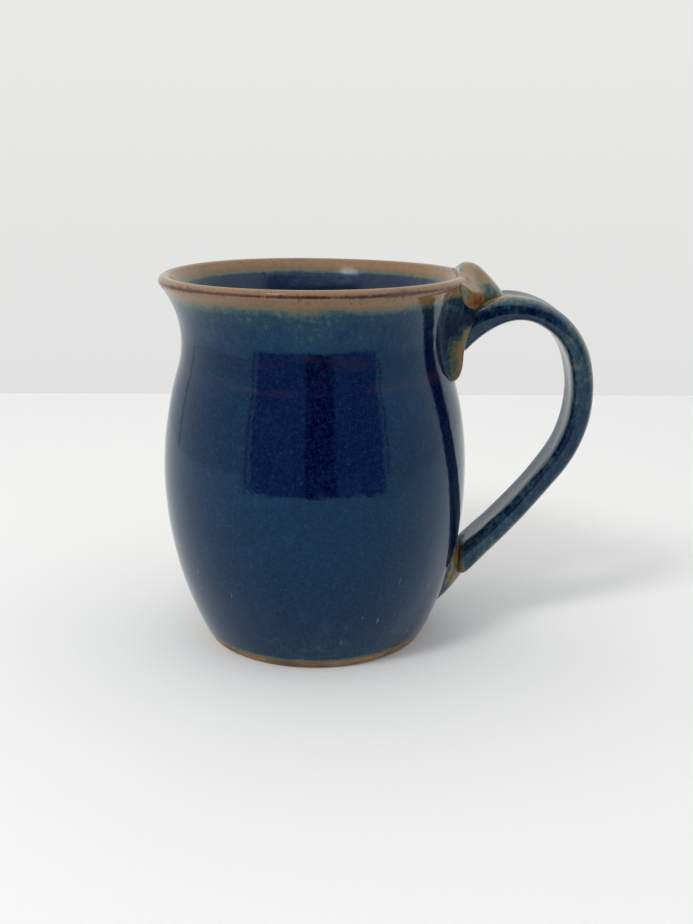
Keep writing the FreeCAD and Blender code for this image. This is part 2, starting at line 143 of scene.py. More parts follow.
# Tables of a height and what is found there. The tongue is the upper root, the tail the lower.
TONGUE = (80.3, 110.2)
TONGUE_WIDTH = (
    (80.3, 7.3), (81.2, 10.6), (82.4, 13.1), (84.5, 14.5), (89.5, 15.2),
    (94.0, 16.5), (98.0, 18.4), (103.5, 21.6), (108.3, 24.4), (110.2, 25.0),
)
TONGUE_RIDGE = ((80, 8.6), (84, 9.8), (90, 10.4), (97, 11.2), (104, 11.2), (110, 8.0))
TONGUE_RISE = (
    (80.3, 0.6), (82, 2.2), (84.5, 4.1), (87, 5.0), (90, 5.6), (93, 6.2),
    (97, 6.8), (101, 7.2), (104, 6.6), (107, 4.4), (110.2, 1.2),
)
VALLEY = 0.55  # depth of the valley outside each ridge of the tongue
TAIL = (7.0, 30.5)
TAIL_WIDTH = (
    (7.0, 1.2), (8.5, 2.6), (12, 4.8), (16, 7.0), (20, 9.2), (24, 10.4), (28, 9.8), (30.5, 8.0),
)
TAIL_RISE = (
    (7.0, 0.2), (8.9, 1.2), (11.3, 2.3), (14.3, 3.4), (16.3, 4.1),
    (19, 4.9), (22, 4.9), (26, 2.8), (30.5, 0.3),
)

# Sections of the thumb rest, from the rim to its nose: reach, top, bottom, half width, how much
# it spreads along the rim, and how high its side is where it does.
ROLL_SECTIONS = np.array(
    [
        [42.2, 112.9, 111.4, 6.0, 0.3, 112.4],
        [42.7, 114.2, 110.0, 13.0, 0.8, 112.9],
        [43.6, 115.2, 107.0, 17.5, 1.0, 113.2],
        [45.0, 115.6, 103.6, 19.5, 1.0, 113.2],
        [46.4, 115.5, 102.6, 20.0, 1.0, 112.7],
        [47.6, 115.0, 102.2, 17.0, 1.0, 111.2],
        [48.7, 114.4, 101.6, 12.0, 0.8, 109.2],
        [49.8, 113.5, 101.0, 9.2, 0.3, 107.5],
        [51.4, 112.1, 100.6, 8.4, 0.0, 106.5],
        [53.2, 110.3, 101.4, 7.2, 0.0, 106.0],
        [54.8, 108.3, 102.2, 5.8, 0.0, 105.5],
        [56.0, 106.6, 103.2, 4.0, 0.0, 105.0],
        [56.7, 105.4, 104.1, 2.0, 0.0, 104.8],
    ]
)
ROLL_ROWS = 80
ROLL_COLUMNS = 96
ROLL_SOFTENING = 5
ROLL_SQUARE = (0.9, 0.85)  # how square its sections are, across and through it
ROLL_PEAK = (6.2, 2.3)  # half width of the roll's hump, and how square it is
RIM_CURVE = 92.0  # the roll follows the rim, which is this wide


# ---- small helpers ---------------------------------------------------------------------------
def smoothstep(low, high, value):
    """0 at low, 1 at high, smooth between and held outside. Low may be the larger one."""
    t = np.clip((value - low) / (high - low), 0, 1)
    return t * t * (3 - 2 * t)


def bell(middle, width, value):
    """1 at the middle, falling away smoothly on both sides."""
    return np.exp(-(((value - middle) / width) ** 2))


def stairs(steps, value):
    """The sum of smooth changes, each with its start, its end and what it adds."""
    return sum(add * smoothstep(low, high, value) for low, high, add in steps)


def lobes(waves, angle):
    """The sum of waves round the axis, each with its height, its count and its start."""
    return sum(tall * np.cos(count * angle + start) for tall, count, start in waves)


def table_at(table, height):
    """What a table of heights and values gives at a height, with straight lines between."""
    heights, values = zip(*table)
    return np.interp(height, heights, values)


def squared(wave_value, power):
    """A sine or cosine with its shoulders pushed out, by a power below 1."""
    return np.sign(wave_value) * np.abs(wave_value) ** power


def arc_points(centre, radius, first, last, step):
    """Points along an arc between two directions in radians, about step apart."""
    count = max(2, math.ceil(abs(last - first) * radius / step) + 1)
    angles = np.linspace(first, last, count)
    return np.stack([centre[0] + radius * np.cos(angles), centre[1] + radius * np.sin(angles)], 1)


def direction(start, end):
    """The direction from one point to another, in radians."""
    return math.atan2(end[1] - start[1], end[0] - start[0])


def wave(x, y, z, seed):
    """A smooth, repeatable, irregular number between about -1 and 1 at each place."""
    total = 0.0
    for octave in range(3):
        scale = 1.0 + 0.9 * octave
        phase = seed * (1.7 + octave)
        ripple = np.sin(scale * x + 1.3 * scale * z + phase)
        cross = np.cos(0.8 * scale * y - 0.6 * scale * z + 2.1 * phase)
        total = total + ripple * cross / (1 + octave)
    return total / 1.6


def smoothed(line, reach):
    """A row of numbers, each averaged with its neighbours."""
    kernel = np.hanning(2 * reach + 3)[1:-1]
    return np.convolve(np.pad(line, reach, mode="edge"), kernel / kernel.sum(), "valid")


def mesh_object(name, points, faces, fields=None, sharp=()):
    """A smooth-shaded object from points in millimetres, with its number fields."""
    mesh = bpy.data.meshes.new(name)
    mesh.from_pydata((np.asarray(points) * MM).tolist(), [], faces)
    mesh.validate()
    mesh.polygons.foreach_set("use_smooth", [True] * len(mesh.polygons))
    for field, values in (fields or {}).items():
        attribute = mesh.attributes.new(field, "FLOAT", "POINT")
        attribute.data.foreach_set("value", np.asarray(values, np.float32))
    if sharp:
        flags = [edge.vertices[0] in sharp and edge.vertices[1] in sharp for edge in mesh.edges]
        mesh.attributes.new("sharp_edge", "BOOLEAN", "EDGE").data.foreach_set("value", flags)
    mesh.update()
    piece = bpy.data.objects.new(name, mesh)
    bpy.context.scene.collection.objects.link(piece)
    return piece


def loop_faces(rows, columns, closed_rows):
    """Quads over a grid whose columns always close, and whose rows may close too."""
    faces = []
    last = rows if closed_rows else rows - 1
    for row in range(last):
        here = row * columns
        there = (row + 1) % rows * columns
        for column in range(columns):
            after = (column + 1) % columns
            faces.append((here + column, here + after, there + after, there + column))
    return faces


def fan(tip, row, columns, flip):
    """Triangles between a tip and a row of a grid."""
    faces = []
    for column in range(columns):
        here = row * columns + column
        after = row * columns + (column + 1) % columns
        faces.append((tip, after, here) if flip else (tip, here, after))
    return faces


# ---- the thrown pot --------------------------------------------------------------------------
JOINT = direction(BELLY, NECK)
FLARE = direction(NECK, LIP)  # the lip is rounded from OVER, over its CREST, to FLARE
CREST = math.pi / 2
OVER = FLARE - math.pi


def belly_angle(depth, height):
    """The direction from the belly's centre at which its arc passes a height."""
    return math.asin((height - BELLY[1]) / (BELLY_ARC - depth))


def wall_line(depth, low_angle, step=FINE):
    """Belly and neck at a depth below the glazed outside, from the bottom up."""
    belly = arc_points(BELLY, BELLY_ARC - depth, low_angle, JOINT, step)
    neck = arc_points(NECK, NECK_ARC + depth, JOINT + math.pi, FLARE, step * 0.7)
    return np.concatenate([belly, neck[1:]])


def lip_line(depth, first, last):
    """The rounded lip at a depth below the glaze, with its points closest at its ends."""
    radius = abs(WALL / 2 - depth)
    count = max(8, math.ceil(abs(last - first) * radius / LIP_STEP))
    angles = first + (last - first) * smoothstep(0, 1, np.linspace(0, 1, count))
    return np.stack([LIP[0] + radius * np.cos(angles), LIP[1] + radius * np.sin(angles)], 1)


def corner_centre(depth, radius, floor):
    """The centre of the rounding between the wall and the floor."""
    reach = BELLY_ARC - depth - radius
    rise = floor + radius - BELLY[1]
    return np.array([BELLY[0] + math.sqrt(reach**2 - rise**2), floor + radius])


def inside_line(depth, step):
    """The inside of the cup from the lip down to the axis, at a depth below its glaze."""
    radius = CORNER + depth
    floor = FLOOR_Z - depth
    centre = corner_centre(WALL - depth, radius, floor)
    side = direction(BELLY, centre)
    wall = wall_line(WALL - depth, side, step)[::-1]
    corner = arc_points(centre, radius, side, -math.pi / 2, step)
    count = math.ceil(centre[0] / (2 * step))
    middle = np.stack([np.linspace(centre[0], 0, count), np.full(count, floor)], 1)
    return np.concatenate([wall, corner[1:], middle[1:]])


def ring_push(ring, height, angle):
    """How far one spiral of throwing rings pushes the wall out."""
    tall, pitch, hand, start = ring
    return tall * np.sin(TURN * (height / pitch + hand * (angle / TURN)) + start)


def hand_thrown(radius, height, angle, inside):
    """How far the potter's fingers push a point out, in millimetres: rings and a slight oval."""
    rings = sum(ring_push(ring, height, angle) for ring in RINGS)
    dents = np.sin(height / DENT_PITCH + 2 * np.cos(angle) + 1.0) * np.cos(2 * angle + 0.4)
    rings = rings + DENTS * dents + inside * ring_push(INNER_RING, height, angle)
    spread = smoothstep(*OVAL_START, height) * smoothstep(*OVAL_REACH, radius)
    return stairs(RINGED, height) * rings + lobes(OVAL, angle) * spread


def rim_lift(height, angle):
    """How far the rim is out of level."""
    return lobes(RIM_SWING, angle) * smoothstep(*RIM_SWING_START, height)


def wall_thin(height, angle, inside):
    """How thin the glaze runs on the wall: 0 where it is deep, 1 where the clay breaks through."""
    level = height + THIN_DRIFT * wave(4 * np.cos(angle), 4 * np.sin(angle), height * 0.1, 3.0)
    outside = stairs(OUTSIDE_THIN, level) + LIP_EDGE_THIN * bell(*LIP_EDGE, level)
    return np.where(inside, stairs(INSIDE_THIN, level), outside)


def turned(name, line, closed, inside, glazed=True, seam=()):
    """A body of revolution, shaped by hand. An open outline starts and ends on the axis."""
    rings = line if closed else line[1:-1]
    angles = np.linspace(0, TURN, COLUMNS, endpoint=False)
    radius, angle = np.meshgrid(rings[:, 0], angles, indexing="ij")
    height = np.repeat(rings[:, 1:2], COLUMNS, 1)
    inside = np.repeat(np.full(len(rings), inside)[:, None], COLUMNS, 1)
    out = radius + hand_thrown(radius, height, angle, inside)
    lifted = height + rim_lift(height, angle)
    points = np.stack([out * np.cos(angle), out * np.sin(angle), lifted], -1).reshape(-1, 3)
    thin = wall_thin(height, angle, inside).reshape(-1)
    faces = loop_faces(len(rings), COLUMNS, closed)
    first_row = 0 if closed else 1
    if not closed:
        for row, tip, flip in ((0, line[0], True), (len(rings) - 1, line[-1], False)):
            faces += fan(len(points), row, COLUMNS, flip)
            points = np.concatenate([points, [[0, 0, tip[1]]]])
            thin = np.append(thin, thin[row * COLUMNS])
    sharp = {(row - first_row) * COLUMNS + column for row in seam for column in range(COLUMNS)}
    return mesh_object(name, points, faces, {"thin": thin} if glazed else None, sharp)


def make_clay():
    """The clay pot, from the middle of its foot up the outside and down the inside."""
    outer = wall_line(GLAZE, belly_angle(GLAZE, BEVEL_TOP), COARSE)
    lip = lip_line(GLAZE, OVER, FLARE)
    line = np.concatenate([FOOT_LINE, outer, lip[1:], inside_line(GLAZE, COARSE)[1:]])
    crest = len(FOOT_LINE) + len(outer) + len(lip) // 2
    inside = np.arange(1, len(line) - 1) > crest
    return turned("pot_clay", line, False, inside, glazed=False)


def make_outside():
    """The outside coat: a rolled lower edge, its face, the lip to the crest, and its back."""
    edge = belly_angle(0, GLAZE_LINE + GLAZE / 2)
    centre = BELLY + (BELLY_ARC - GLAZE / 2) * np.array([math.cos(edge), math.sin(edge)])
    roll = arc_points(centre, GLAZE / 2, -math.pi * 0.9, -0.1, 0.06)
    face = wall_line(0, belly_angle(0, GLAZE_LINE + 0.5))
    outer_lip = lip_line(0, OVER, CREST)
    inner_lip = lip_line(COAT, CREST, OVER)
    back = wall_line(COAT, belly_angle(GLAZE, GLAZE_LINE + GLAZE), COARSE)[::-1]
    line = np.concatenate([roll, face, outer_lip[1:], inner_lip, back[1:]])
    seam = len(roll) + len(face) + len(outer_lip) - 2
    return turned("outside_glaze", line, True, False, seam=(seam, seam + 1))


def make_liner():
    """The inside coat, from the axis up its back, over the lip's crest and down its face."""
    back = inside_line(COAT, COARSE)[::-1]
    back_lip = lip_line(COAT, FLARE, CREST)
    lip = lip_line(0, CREST, FLARE)
    line = np.concatenate([back, back_lip[1:], lip, inside_line(0, FINE)[1:]])
    seam = len(back) + len(back_lip) - 2
    return turned("inside_glaze", line, False, True, seam=(seam, seam + 1))


# ---- the handle ------------------------------------------------------------------------------
def strap_middle():
    """Points along the strap's middle line and their outward normals, from the lower end up."""
    radii = [RUN_ARC, RUN_ARC - math.dist(RUN, BEND)]
    radii.append(radii[1] - math.dist(BEND, CROWN))
    entry = math.pi / 2 + STRAP_SLOPE
    first = -math.acos((STRAP_LOW_X - RUN[0]) / RUN_ARC)
    bounds = [first, direction(RUN, BEND), direction(BEND, CROWN), entry]
    points = []
    normals = []
    for centre, radius, low, high in zip((RUN, BEND, CROWN), radii, bounds, bounds[1:]):
        count = math.ceil((high - low) * radius / STRAP_STEP)
        angles = np.linspace(low, high, count, endpoint=False)
        out = np.stack([np.cos(angles), np.sin(angles)], 1)
        points.append(centre + radius * out)
        normals.append(out)
    out = np.array([math.cos(entry), math.sin(entry)])
    ahead = np.array([-out[1], out[0]])
    start = CROWN + radii[2] * out
    reach = np.arange(0, (start[0] - STRAP_HIGH_X) / abs(ahead[0]), STRAP_STEP)
    points.append(start + reach[:, None] * ahead)
    normals.append(np.repeat(out[None], len(reach), 0))
    return np.concatenate(points), np.concatenate(normals)


def half_width(height):
    """Half the strap's width at a height, narrowest at its waist."""
    curve = STRAP_FLARE - np.sqrt(STRAP_FLARE**2 - (height - STRAP_WAIST_Z) ** 2)
    return STRAP_WAIST / 2 + curve


def closed_tube(name, grid, fields, inward):
    """A tube over a grid of rows of points, with a fan over each end. Carries some fields."""
    rows, count = grid.shape[:2]
    flat = np.concatenate([grid.reshape(-1, 3), [grid[0].mean(0), grid[-1].mean(0)]])
    faces = loop_faces(rows, count, False)
    if inward:
        faces = [tuple(reversed(face)) for face in faces]
    faces += fan(rows * count, 0, count, not inward)
    faces += fan(rows * count + 1, rows - 1, count, inward)
    carried = {}
    for field, values in fields.items():
        carried[field] = np.append(values.reshape(-1), [values[0].mean(), values[-1].mean()])
    return mesh_object(name, flat, faces, carried)


def strap_rows(length):
    """How far along the strap each of its rows is. They are close together on the heel."""
    heel = HEEL * (1 - np.cos(np.linspace(0.15, math.pi / 2, HEEL_ROWS)))
    rest = np.arange(HEEL + 0.5, length - STRAP_ROW, STRAP_ROW)
    return np.concatenate([heel, rest])[:, None]


def strap_ridges(rows, share, across, through):
    """How far the ridges and grooves of both faces stand out from the plain section."""
    outer_face = np.maximum(through, 0)[None] ** 0.5
    inner_face = np.maximum(-through, 0)[None] ** 0.5
    ridge = RIDGE * bell(*RIDGE_ACROSS, np.abs(across)) - GROOVE * bell(*GROOVE_ACROSS, across)
    ridge = ridge[None] * outer_face * smoothstep(*RIDGE_START, rows)
    hollow = UNDER_GROOVE * bell(*UNDER_ACROSS, across)[None] * inner_face
    return ridge * (0.85 + 0.15 * np.sin(share * 9)) + hollow


def strap_thin(rows, length, side, across, through):
    """How thin the glaze is on the strap: on its ridges, its edges, its root and its heel."""
    share = rows / length
    corner = np.abs(across) ** 6 * np.abs(through) ** 3
    low_run = 1 - smoothstep(0.42, 0.62, share)
    inner_edge = 0.30 * corner * (through < 0) * (0.4 + 0.6 * low_run)
    outer_edge = 0.10 * corner * (through > 0)
    crest = bell(*RIDGE_CREST, np.abs(across)) * (through > 0.4)
    crest = crest * (0.25 + 0.05 * np.sin(share * 23))
    drift = 0.06 * wave(side * 0.5, share * 30, side * 0.2, 8.0)
    root = smoothstep(length - 34, length - 12, rows) * smoothstep(-0.4, 0.5, through)
    heel = 1 - smoothstep(0.3, 2.6, rows)
    thin = 0.08 + inner_edge + outer_edge + crest + drift + 0.13 * root + 0.38 * heel
    return np.clip(thin, 0, 1)


def make_strap():
    """The pulled strap: two ridges and a groove along its outer face, softly rounded edges."""
    points, normals = strap_middle()
    travel = np.arange(len(points)) * STRAP_STEP
    length = travel[-1]
    angles = np.linspace(0, TURN, STRAP_COLUMNS, endpoint=False)
    across = squared(np.cos(angles), STRAP_SQUARE[0])
    through = squared(np.sin(angles), STRAP_SQUARE[1])
    rows = strap_rows(length)
    share = rows / length
    lean = HEEL_LEAN * (1 - through[None]) * (1 - smoothstep(0, HEEL_LEAN_END, rows))
    spot = np.clip(rows + lean, 0, None)
    x, z = (np.interp(spot, travel, points[:, axis]) for axis in (0, 1))
    out_x, out_z = (np.interp(spot, travel, normals[:, axis]) for axis in (0, 1))

    taken = 0.75 * HEEL * (1 - np.sqrt(1 - (1 - np.clip(rows / HEEL, 0, 1)) ** 2))
    width = half_width(z) + 0.25 * np.sin(share * 19) * smoothstep(0.05, 0.3, share) - taken
    thick = STRAP / 2 * (1 + 0.04 * np.sin(share * 13 + 1)) - 0.9 * taken
    flare = ROOT_FLARE * smoothstep(*(length - span for span in ROOT_FLARE_SPAN), rows)
    flare = flare * np.maximum(-through, 0)[None]
    side = across[None] * width
    lift = through[None] * thick + strap_ridges(rows, share, across, through) - flare
    lift = lift + HEEL_LIP_RISE * bell(*HEEL_LIP, rows) * np.maximum(through, 0)[None]
    lift = lift + 0.05 * wave(side * 0.8, share * 60, 0, 5.0)
    grid = np.stack([x + out_x * lift, side, z + out_z * lift], -1)
    thin = strap_thin(rows, length, side, across, through)
    return closed_tube("handle_strap_glazed", grid, {"thin": thin}, True)


# ---- the clay at the handle's joints ---------------------------------------------------------
def wall_frame(side, height):
    """Where the glazed wall is at a side step and a height, and its outward normal."""
    on_belly = height < BELLY[1] + BELLY_ARC * math.sin(JOINT)
    belly_drop = np.clip((height - BELLY[1]) / BELLY_ARC, -1, 1)
    neck_drop = np.clip((height - NECK[1]) / NECK_ARC, -0.995, 0.995)
    belly_radius = BELLY[0] + BELLY_ARC * np.sqrt(1 - belly_drop**2)
    neck_radius = NECK[0] - NECK_ARC * np.sqrt(1 - neck_drop**2)
    radius = np.where(on_belly, belly_radius, neck_radius)
    rise = np.where(on_belly, belly_drop, -neck_drop)
    angle = np.arcsin(np.clip(side / radius, -1, 1))
    radius = radius + hand_thrown(radius, height, angle, False)
    run = np.sqrt(1 - rise**2)
    normal = np.stack([run * np.cos(angle), run * np.sin(angle), rise], -1)
    place = np.stack([radius * np.cos(angle), radius * np.sin(angle), height], -1)
    return place, normal


def pad_faces():
    """The faces of a pad: its top, its back and the rim round both."""
    size = PAD_ROWS * PAD_COLUMNS
    faces = []
    for row in range(PAD_ROWS - 1):
        for column in range(PAD_COLUMNS - 1):
            corner = row * PAD_COLUMNS + column
            quad = (corner, corner + 1, corner + PAD_COLUMNS + 1, corner + PAD_COLUMNS)
            faces.append(quad)
            faces.append(tuple(index + size for index in reversed(quad)))
    rim = [row * PAD_COLUMNS for row in range(PAD_ROWS)]
    rim += [(PAD_ROWS - 1) * PAD_COLUMNS + column for column in range(1, PAD_COLUMNS)]
    rim += [row * PAD_COLUMNS + PAD_COLUMNS - 1 for row in range(PAD_ROWS - 2, -1, -1)]
    rim += list(range(PAD_COLUMNS - 2, 0, -1))
    for here, after in zip(rim, rim[1:] + rim[:1]):
        faces.append((here, here + size, after + size, after))
    return faces


def pad(name, heights, width_table, rise_of, thin_of, painted_shade_of):
    """Smoothed clay on the wall, sunk at its border just under the wall's glaze."""
    rows = np.linspace(0, 1, PAD_ROWS)
    columns = np.linspace(-1, 1, PAD_COLUMNS)
    u, v = np.meshgrid(rows, columns, indexing="ij")
    height = heights[0] + (heights[1] - heights[0]) * u
    half = table_at(width_table, height)
    side = v * half
    place, normal = wall_frame(side, height)
    inner = smoothstep(0, PAD_BORDER, u) * smoothstep(0, PAD_BORDER, 1 - u)
    inner = inner * smoothstep(0, PAD_BORDER, 1 - np.abs(v))
    rise = rise_of(side, height, half)
    for axis in (0, 1):
        rise = np.apply_along_axis(smoothed, axis, rise, PAD_SOFTENING)
    rise = rise * inner - PAD_SINK * (1 - inner)
    top = place + normal * rise[..., None]
    back = place - normal * PAD_DEPTH
    points = np.concatenate([top.reshape(-1, 3), back.reshape(-1, 3)])
    fields = {}
    # The glaze's thinness, and the painted shade that darkens the pad's hollows by lowering their
    # gloss.
    for field, rule in (("thin", thin_of), ("painted_shade", painted_shade_of)):
        values = np.clip(rule(side, height, half), 0, 1).reshape(-1)
        fields[field] = np.concatenate([values, values])
    return mesh_object(name, points, pad_faces(), fields)


def tongue_rise(side, height, half):
    """The tongue's height over the wall: a ridge on each side, a shoulder and a valley."""
    ridge = table_at(TONGUE_RIDGE, height)
    away = np.abs(side)
    out = np.clip((away - ridge) / (half - ridge), 0, 1)
    shoulder = 0.50 * (1 - out**2) + 0.50 * (1 - out) ** 2.4
    between = 0.78 + 0.22 * np.clip(away / ridge, 0, 1) ** 3
    valley = VALLEY * bell(ridge + 2.6, 0.9, away) * (1 - smoothstep(92, 97, height))
    tall = table_at(TONGUE_RISE, height)
    return tall * np.where(away > ridge, shoulder, between) - valley * smoothstep(82, 85, height)


def tongue_thin(side, height, half):
    """How thin the glaze is on the tongue: brown ridges, a teal line and a tan rim."""
    ridge = table_at(TONGUE_RIDGE, height)
    away = np.abs(side)
    below = 1 - smoothstep(98, 102, height)
    crest = 0.68 * bell(ridge - 0.4, 2.2, away) * below
    teal = 0.17 * bell(ridge + 3.0, 1.7, away) * (1 - smoothstep(94, 98, height))
    rim = 0.46 * smoothstep(107, 109.4, height) + 0.10 * smoothstep(104, 107, height)
    hollow = 0.30 * smoothstep(ridge, ridge - 4, away) * below
    return crest + teal + rim + hollow + 0.02


def tongue_painted_shade(side, height, half):
    """Painted shade on the tongue: less gloss beside its ridges and under the thumb rest, where
    shade falls.
    """
    away = np.abs(side)
    within = 1 - smoothstep(0.90, 1.0, away / half)
    beside = smoothstep(-0.5, 1.5, away - table_at(TONGUE_RIDGE, height))
    under_roll = smoothstep(95, 99, height) * (1 - smoothstep(105.5, 108, height))
    return within * np.maximum(beside, under_roll)


def tail_rise(side, height, half):
    """The height of the smear under the handle's lower end."""
    return table_at(TAIL_RISE, height) * (1 - np.abs(side / half) ** 2.2) ** 1.1


def tail_thin(side, height, half):
    """How thin the glaze is on the smear: two brown spots on each side and a thin border."""
    away = np.abs(side)
    crest = bell(0.45 * half, 0.36 * half, away)
    spot = 0.46 * bell(17, 6.0, height) + 0.72 * bell(25.5, 3.2, height)
    border = 0.26 * bell(0.90, 0.05, away / half)
    return spot * crest + border + 0.06


def tail_painted_shade(side, height, half):
    """Painted shade on the smear: less gloss along its flanks."""
    return 0.5 * bell(0.75, 0.15, np.abs(side) / half)


def make_upper_root():
    """The tongue under the rim: it spreads from the strap and ends in two ridges below it."""
    return pad("upper_root", TONGUE, TONGUE_WIDTH, tongue_rise, tongue_thin, tongue_painted_shade)


def make_lower_root():
    """The smear of clay where the strap's lower end meets the belly, with its tail."""
    return pad("lower_root", TAIL, TAIL_WIDTH, tail_rise, tail_thin, tail_painted_shade)


def roll_shape():
    """The thumb rest's points: round at the nose, and spread along the rim at its other end."""
    knots = np.linspace(0, 1, len(ROLL_SECTIONS))
    where = np.linspace(0, 1, ROLL_ROWS)
    lines = [np.interp(where, knots, column) for column in ROLL_SECTIONS.T]
    lines = [smoothed(line, ROLL_SOFTENING) for line in lines]
    reach, top, bottom, width, spread, level = (line[:, None] for line in lines)
    angles = np.linspace(0, TURN, ROLL_COLUMNS, endpoint=False)[None]
    across = squared(np.cos(angles), ROLL_SQUARE[0])
    through = squared(np.sin(angles), ROLL_SQUARE[1])
    y = width * across
    round_z = (top + bottom) / 2 + (top - bottom) / 2 * through
    half_hump, squareness = ROLL_PEAK
    peak = np.exp(-((np.abs(y) / half_hump) ** squareness))
    skirt = level - 0.8 * np.abs(across) ** 4
    lapped = skirt + (top - skirt) * peak
    low = bottom + (skirt - 1.0 - bottom) * np.abs(across) ** 6
    join = np.abs(through) ** 0.5
    spread_z = np.where(through > 0, low * (1 - join) + lapped * join, low)
    z = round_z * (1 - spread) + spread_z * spread
    x = reach - spread * y**2 / RIM_CURVE
    z = z + 0.22 * wave(x * 0.55, y * 0.5, z * 0.5, 2.0)
    y = y + 0.25 * wave(z * 0.5, x * 0.5, y * 0.3, 6.0)
    return x, y, z


def make_thumb_rest():
    """The roll of clay over the strap: blunt where it laps the rim, tapered to a nose."""
    x, y, z = roll_shape()
    lapping = 0.10 * smoothstep(106, 110, z) * smoothstep(7, 13, np.abs(y))
    mottle = 0.16 * wave(x * 0.6, y * 0.5, z * 0.6, 4.0)
    brown = 0.36 * bell(47.0, 3.2, x) * (1 - smoothstep(104, 110, z))
    back = 0.08 * (1 - smoothstep(46, 52, x))
    nose = 0.14 * smoothstep(53.5, 56, x)
    thin = np.clip(0.34 + mottle + back + lapping + brown + nose, 0.08, 0.92)
    # Painted shade: less gloss on the roll's lower sides, where shade falls under it.
    painted_shade = 0.85 * (1 - smoothstep(103.5, 109.5, z)) * smoothstep(4, 8, np.abs(y))
    grid = np.stack([x, y, z], -1)
    return closed_tube("thumb_rest_glazed", grid, {"thin": thin, "painted_shade": painted_shade}, False)


# ---- materials -------------------------------------------------------------------------------
def srgb(red, green, blue):
    """A colour given as it shows on a screen, 0 to 255, as the linear numbers shaders use."""
    parts = []
    for part in (red, green, blue):
        share = part / 255
        linear = share / 12.92 if share <= 0.04045 else ((share + 0.055) / 1.055) ** 2.4
        parts.append(linear)
    return (*parts, 1.0)


# How the glaze's colour changes from deep to thin.
BLUE_STOPS = (
    (0.06, srgb(1, 2, 40)),
    (0.16, srgb(5, 14, 50)),
    (0.27, srgb(28, 42, 59)),
    (0.38, srgb(64, 80, 72)),
    (0.50, srgb(104, 98, 62)),
    (0.64, srgb(128, 94, 55)),
    (0.80, srgb(142, 107, 66)),
    (1.00, srgb(84, 44, 22)),
)
HANDLE_STOPS = (
    (0.04, srgb(1, 3, 40)),
    (0.16, srgb(8, 22, 48)),
    (0.28, srgb(32, 58, 70)),
    (0.42, srgb(80, 88, 66)),
    (0.56, srgb(122, 106, 66)),
    (0.70, srgb(140, 102, 56)),
    (0.84, srgb(128, 76, 32)),
    (1.00, srgb(92, 48, 24)),
)
CLAY_STOPS = ((0.0, srgb(120, 88, 58)), (1.0, srgb(176, 142, 102)))
FLOAT_BLUE = srgb(20, 48, 82)
FLECK_BLUE = srgb(66, 92, 122)
PURPLE = srgb(74, 38, 52)
DRIP_BLUE = srgb(110, 140, 150)
IRON = srgb(48, 30, 20)
IRON_STRENGTH = 0.7
LEVEL_SHIFT = 0.10  # what is added to a glaze's thinness before its colour is looked up

# Noises, each with its grains per metre, its detail and its roughness. A span after one says
# between which of its values, out of 0 to 1, something fades in.
CLOUDS = (85.0, 3.0, 0.5)
SPECKS = (620.0, 3.0, 0.6)
RUNS = (800.0, 2.0, 0.5)
GRAIN = (1500.0, 2.0, 0.6)
PATCHES = (230.0, 3.0, 0.6)
FLOATS = (900.0, 4.0, 0.7)
FLOATS_SPAN = (0.46, 0.74)
FLECKS = (2300.0, 2.0, 0.6)
FLECKS_SPAN = (0.60, 0.74)
STREAKS = (55.0, 3.0, 0.5)
STREAKS_SPAN = (0.42, 0.66)
WANDER = (30.0, 1.0, 0.5)
DRIPS = (760.0, 0.0, 0.5)
DRIPS_SPAN = (0.775, 0.81)
DRIP_PLACES = (47.0, 0.0, 0.5)
DRIP_PLACES_SPAN = (0.53, 0.57)
GLAZE_PEEL = (240.0, 2.0, 0.5)
GLAZE_PITS = (1500.0, 2.0, 0.5)
GLAZE_SHEEN = (400.0, 2.0, 0.5)
CLAY_CLOUDS = (70.0, 3.0, 0.5)
CLAY_SPECKS = (1500.0, 1.0, 0.5)
CLAY_SPECKS_SPAN = (0.66, 0.72)
CLAY_GRIT = (2600.0, 3.0, 0.7)
TABLE_CLOUDS = (6.0, 2.0, 0.5)
FLOAT_STRENGTH = 0.62
FLECK_STRENGTH = 0.42
GLAZE_GLOSS = (0.045, 0.11)  # the lowest and highest roughness of a glossy glaze
THIN_TINT = (0.9, 0.95, 1.0, 1)  # tint of the gloss where the glaze is thin
EVEN_GLOSS = 0.5
SHADE_GLOSS_LOSS = 0.42  # how much of that is taken away where painted shade is carried, so hollows reflect less light

# Purple bands round the belly: their height and half their width in metres, and their strength.
BANDS = ((0.0918, 0.0028, 0.6), (0.0850, 0.0024, 1.0))
BAND_WANDER = 0.004
DRIP_TOP = (0.026, 0.034)  # the small drips are only below this height
DRIP_STRENGTH = 0.45


